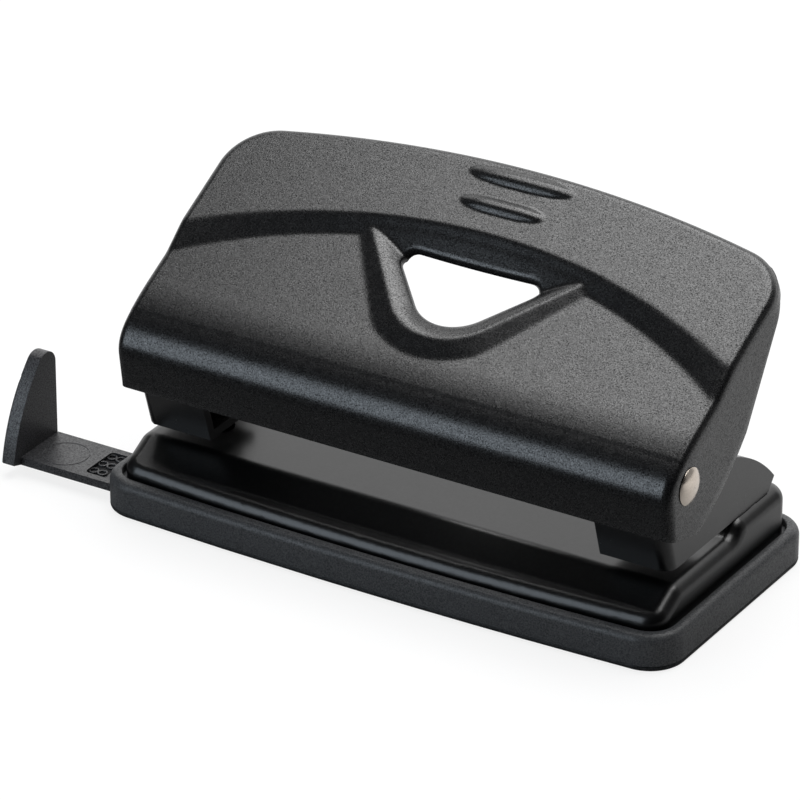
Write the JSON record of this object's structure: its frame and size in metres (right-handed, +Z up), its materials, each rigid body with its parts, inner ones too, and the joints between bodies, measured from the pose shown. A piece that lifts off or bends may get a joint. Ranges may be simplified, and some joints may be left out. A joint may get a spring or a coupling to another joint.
{
  "type": "two-hole punch",
  "caption": "Desk hole punch: pressed handle with a finger eye, hinged at its nose over a steel base with sprung punch pins, a sliding paper guide and a clip-on chip tray.",
  "frame": {"origin": "middle of the underside of the base, where it stands on the desk", "axes": "+X along the base to the right, away from the paper guide; +Y to the rear; +Z up"},
  "size_m": [0.1245, 0.0498, 0.0549],
  "materials": {
    "tray_plastic": "fine moulded texture",
    "surround_plastic": "fine moulded texture",
    "guide_plastic": "fine moulded texture",
    "base_paint": "satin black stove enamel",
    "handle_paint": "black fine-textured powder coat",
    "bracket_paint": "satin black",
    "pin_steel": "ground",
    "ring_steel": "zinc plated",
    "spring_steel": "drawn wire",
    "rivet_nickel": "nickel plated"
  },
  "bodies": {
    "tray": {"chip_tray": "tray_plastic"},
    "base": {"base_surround": "surround_plastic", "base_plate": "base_paint", "left_punch_bracket": "bracket_paint", "right_punch_bracket": "bracket_paint", "left_pivot_rivet": "rivet_nickel", "right_pivot_rivet": "rivet_nickel", "left_return_spring": "spring_steel", "right_return_spring": "spring_steel"},
    "guide": {"paper_guide": "guide_plastic"},
    "handle": {"handle": "handle_paint"},
    "left_punch": {"left_punch_pin": "pin_steel", "left_retaining_ring": "ring_steel", "left_spring_washer": "ring_steel"},
    "right_punch": {"right_punch_pin": "pin_steel", "right_retaining_ring": "ring_steel", "right_spring_washer": "ring_steel"}
  },
  "joints": [
    {"name": "base_lift", "type": "slide", "parent": "tray", "child": "base", "axis": [0, 0, 1], "range_m": [0, 0.02]},
    {"name": "guide_slide", "type": "slide", "parent": "base", "child": "guide", "axis": [-1, 0, 0], "range_m": [-0.0155, 0.079]},
    {"name": "handle_press", "type": "hinge", "parent": "base", "child": "handle", "pos_m": [0, -0.014, 0.0285], "axis": [-1, 0, 0], "range_deg": [0, 28], "stiffness_Nm_per_rad": 0.1155, "springref_deg": -37.82},
    {"name": "left_punch_stroke", "type": "slide", "parent": "base", "child": "left_punch", "axis": [0, 0, -1], "range_m": [0, 0.0041], "deforming": ["left_return_spring"]},
    {"name": "right_punch_stroke", "type": "slide", "parent": "base", "child": "right_punch", "axis": [0, 0, -1], "range_m": [0, 0.0041], "deforming": ["right_return_spring"]}
  ],
  "couplings": [
    {"joint": "left_punch_stroke", "follows": "handle_press", "m_per_rad": 0.008287},
    {"joint": "right_punch_stroke", "follows": "handle_press", "m_per_rad": 0.008287}
  ]
}
